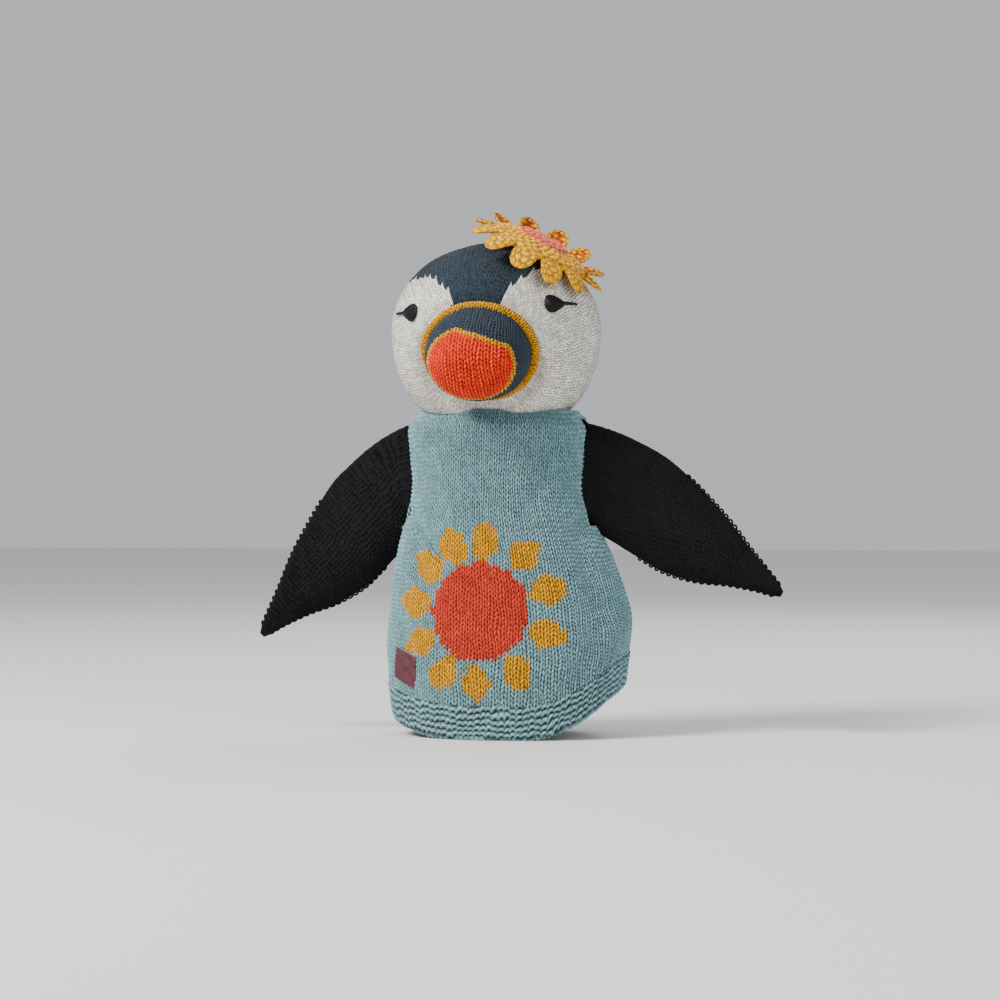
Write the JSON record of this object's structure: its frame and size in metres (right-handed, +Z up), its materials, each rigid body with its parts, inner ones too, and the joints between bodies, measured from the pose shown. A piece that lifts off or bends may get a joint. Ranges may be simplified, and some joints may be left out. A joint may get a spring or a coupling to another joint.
{
  "type": "knitted hand puppet",
  "caption": "Knitted penguin hand puppet in a dress with a sun motif, stuffed head, big round beak, flower hat and flipper finger pockets.",
  "frame": {"origin": "centre of the hand opening, in the plane of the hem", "axes": "+Z up from the hem to the head, -Y the way the puppet faces, +X its own left"},
  "size_m": [0.313, 0.1321, 0.3101],
  "materials": {
    "dress_yarn": "matt cotton stockinette with coral and yellow motif",
    "crown_yarn": "matt navy cotton stockinette",
    "flipper_yarn": "matt near-black cotton stockinette",
    "face_yarn": "matt cream cotton stockinette",
    "petal_yarn": "matt golden yellow cotton",
    "beak_yarn": "matt orange cotton stockinette",
    "coral_yarn": "matt coral cotton",
    "label_tape": "plain woven burgundy tape",
    "lining_yarn": "plain cotton lining",
    "fill": "polyester fibre filling"
  },
  "bodies": {
    "dress": {"dress_front": "dress_yarn", "dress_back": "dress_yarn", "hem_band_front": "dress_yarn", "hem_band_back": "dress_yarn", "side_seam_left": "dress_yarn", "side_seam_right": "dress_yarn", "side_label": "label_tape"},
    "neck": {"neck_gather": "dress_yarn"},
    "neck_ring": {"neck_seam": "face_yarn"},
    "head": {"head_crown": "crown_yarn", "head_face": "face_yarn", "head_stuffing": "fill", "finger_tube": "lining_yarn", "beak_band": "crown_yarn", "beak_stripe": "petal_yarn", "beak_tip": "beak_yarn", "beak_stuffing": "fill", "beak_rim": "petal_yarn", "eye_left": "flipper_yarn", "lash_left": "flipper_yarn", "eye_right": "flipper_yarn", "lash_right": "flipper_yarn", "hat_disc": "petal_yarn", "hat_centre": "coral_yarn", "hat_petal_01": "petal_yarn", "hat_petal_02": "petal_yarn", "hat_petal_03": "petal_yarn", "hat_petal_04": "petal_yarn", "hat_petal_05": "petal_yarn", "hat_petal_06": "petal_yarn", "hat_petal_07": "petal_yarn", "hat_petal_08": "petal_yarn", "hat_petal_09": "petal_yarn", "hat_petal_10": "petal_yarn", "hat_petal_11": "petal_yarn", "hat_petal_12": "petal_yarn"},
    "flipper_left_root": {"flipper_left_root": "flipper_yarn"},
    "flipper_left": {"flipper_left_front": "flipper_yarn", "flipper_left_back": "flipper_yarn", "flipper_left_seam": "flipper_yarn"},
    "flipper_right_root": {"flipper_right_root": "flipper_yarn"},
    "flipper_right": {"flipper_right_front": "flipper_yarn", "flipper_right_back": "flipper_yarn", "flipper_right_seam": "flipper_yarn"}
  },
  "joints": [
    {"name": "head_nod", "type": "hinge", "parent": "dress", "child": "neck", "pos_m": [0, 0, 0.1755], "axis": [1, 0, 0], "range_deg": [-15, 18], "deforming": ["neck_gather"]},
    {"name": "head_lean", "type": "hinge", "parent": "neck", "child": "neck_ring", "pos_m": [0, 0, 0.1755], "axis": [0, -1, 0], "range_deg": [-10, 10], "deforming": ["neck_seam"]},
    {"name": "head_turn", "type": "hinge", "parent": "neck_ring", "child": "head", "pos_m": [0, 0, 0.1755], "axis": [0, 0, 1], "range_deg": [-35, 35]},
    {"name": "flipper_left_swing", "type": "hinge", "parent": "dress", "child": "flipper_left_root", "pos_m": [0.05, 0, 0.152], "axis": [0, 0, -1], "range_deg": [-20, 60], "deforming": ["flipper_left_root"]},
    {"name": "flipper_left_raise", "type": "hinge", "parent": "flipper_left_root", "child": "flipper_left", "pos_m": [0.05, 0, 0.152], "axis": [0, -1, 0], "range_deg": [-11, 55]},
    {"name": "flipper_right_swing", "type": "hinge", "parent": "dress", "child": "flipper_right_root", "pos_m": [-0.05, 0, 0.152], "axis": [0, 0, 1], "range_deg": [-20, 60], "deforming": ["flipper_right_root"]},
    {"name": "flipper_right_raise", "type": "hinge", "parent": "flipper_right_root", "child": "flipper_right", "pos_m": [-0.05, 0, 0.152], "axis": [0, 1, 0], "range_deg": [-3, 69]}
  ]
}
